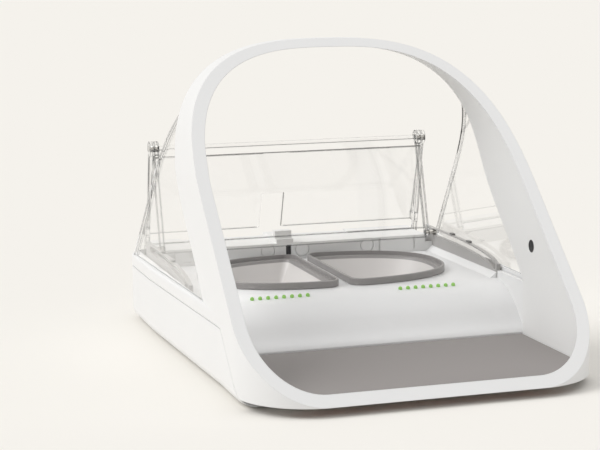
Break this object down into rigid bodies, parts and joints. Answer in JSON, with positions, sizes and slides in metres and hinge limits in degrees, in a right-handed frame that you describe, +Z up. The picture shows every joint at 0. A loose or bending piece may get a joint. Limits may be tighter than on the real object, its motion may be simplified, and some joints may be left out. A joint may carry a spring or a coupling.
{
  "type": "microchip pet feeder",
  "caption": "Battery-powered pet feeder: a raked reading arch over an entry mat, two D-shaped bowls on scales and a folding clear lid driven by a geared motor.",
  "frame": {"origin": "on the ground, in the middle of the footprint", "axes": "+X to the right as seen by the approaching pet, +Y from the arch's lip to the back, +Z up"},
  "size_m": [0.23, 0.318, 0.199],
  "materials": {
    "bare_aluminium": "milled",
    "bowl_grey": "satin",
    "button_white": "satin",
    "cap_grey": "satin",
    "cell_jacket": "printed sleeve, plain",
    "circuit_board": "solder mask",
    "clear_plastic": "polished clear",
    "copper_winding": "enamelled wire",
    "green_light": "diffusing",
    "inner_plastic": "moulded acetal",
    "liner_white": "fine spark-eroded",
    "mat_grey": "matt",
    "motor_can": "plated",
    "rail_grey": "satin",
    "sensor_dark": "smoked",
    "soft_rubber": "matt",
    "steel": "bright drawn",
    "white_shell": "satin injection-moulded"
  },
  "bodies": {
    "base": {"arch_liner": "liner_white", "base_screws": "steel", "base_tub": "white_shell", "battery_cells_left": "cell_jacket", "battery_cells_right": "cell_jacket", "battery_contacts": "steel", "board_screws": "steel", "bowl_tray": "white_shell", "button_board": "circuit_board", "cell_screws": "steel", "deck_caps": "cap_grey", "gearbox": "inner_plastic", "guide_rail_left": "rail_grey", "guide_rail_right": "rail_grey", "led_board_left": "circuit_board", "led_board_right": "circuit_board", "led_lenses_left": "green_light", "led_lenses_right": "green_light", "lid_sensor": "sensor_dark", "load_cell_left": "bare_aluminium", "load_cell_right": "bare_aluminium", "main_board": "circuit_board", "motor": "motor_can", "reader_coil": "copper_winding", "rear_deck": "white_shell", "rubber_feet": "soft_rubber", "sensor_window_left": "sensor_dark", "sensor_window_right": "sensor_dark", "side_window_left": "clear_plastic", "side_window_right": "clear_plastic", "upper_casing": "white_shell", "weigh_platform_left": "inner_plastic", "weigh_platform_right": "inner_plastic"},
    "lid_rear": {"lid_rear_leaf": "clear_plastic", "crown_pins": "steel", "lid_axle": "steel", "lid_sector": "inner_plastic"},
    "lid_front": {"lid_front_leaf": "clear_plastic", "guide_pins": "steel"},
    "pinion": {"lid_pinion": "inner_plastic"},
    "mat": {"entry_mat": "mat_grey"},
    "bowl_left": {"bowl_left": "bowl_grey"},
    "bowl_right": {"bowl_right": "bowl_grey"},
    "button_open_close": {"button_open_close": "button_white"},
    "button_add_pet": {"button_add_pet": "button_white"},
    "button_training": {"button_training": "button_white"},
    "button_connect": {"button_connect": "button_white"},
    "battery_door_left": {"battery_door_left": "white_shell"},
    "battery_door_right": {"battery_door_right": "white_shell"}
  },
  "joints": [
    {"name": "lid_swing", "type": "hinge", "parent": "base", "child": "lid_rear", "pos_m": [0, 0.15, 0.047], "axis": [1, 0, 0], "range_deg": [0, 73.55]},
    {"name": "lid_fold", "type": "hinge", "parent": "lid_rear", "child": "lid_front", "pos_m": [0, 0.13301, 0.12151], "axis": [1, 0, 0], "range_deg": [-143.58, 0]},
    {"name": "pinion_spin", "type": "hinge", "parent": "base", "child": "pinion", "pos_m": [0, 0.14528, 0.03773], "axis": [1, 0, 0], "range_deg": [-117.7, 0]},
    {"name": "bowl_left_lift", "type": "slide", "parent": "base", "child": "bowl_left", "axis": [0, -0.3746, 0.9272], "range_m": [0, 0.06]},
    {"name": "bowl_right_lift", "type": "slide", "parent": "base", "child": "bowl_right", "axis": [0, -0.3746, 0.9272], "range_m": [0, 0.06]},
    {"name": "mat_lift", "type": "slide", "parent": "base", "child": "mat", "axis": [0, 0, 1], "range_m": [0, 0.03]},
    {"name": "open_close_press", "type": "slide", "parent": "base", "child": "button_open_close", "axis": [0, -1, 0], "range_m": [0, 0.0008], "stiffness_N_per_m": 600},
    {"name": "add_pet_press", "type": "slide", "parent": "base", "child": "button_add_pet", "axis": [0, -1, 0], "range_m": [0, 0.0008], "stiffness_N_per_m": 600},
    {"name": "training_press", "type": "slide", "parent": "base", "child": "button_training", "axis": [0, -1, 0], "range_m": [0, 0.0008], "stiffness_N_per_m": 600},
    {"name": "connect_press", "type": "slide", "parent": "base", "child": "button_connect", "axis": [0, -1, 0], "range_m": [0, 0.0008], "stiffness_N_per_m": 600},
    {"name": "battery_door_left_out", "type": "slide", "parent": "base", "child": "battery_door_left", "axis": [0, 0, -1], "range_m": [0, 0.01]},
    {"name": "battery_door_right_out", "type": "slide", "parent": "base", "child": "battery_door_right", "axis": [0, 0, -1], "range_m": [0, 0.01]}
  ],
  "couplings": [
    {"joint": "lid_fold", "follows": "lid_swing", "ratio": -1.9519},
    {"joint": "pinion_spin", "follows": "lid_swing", "ratio": -1.6}
  ]
}
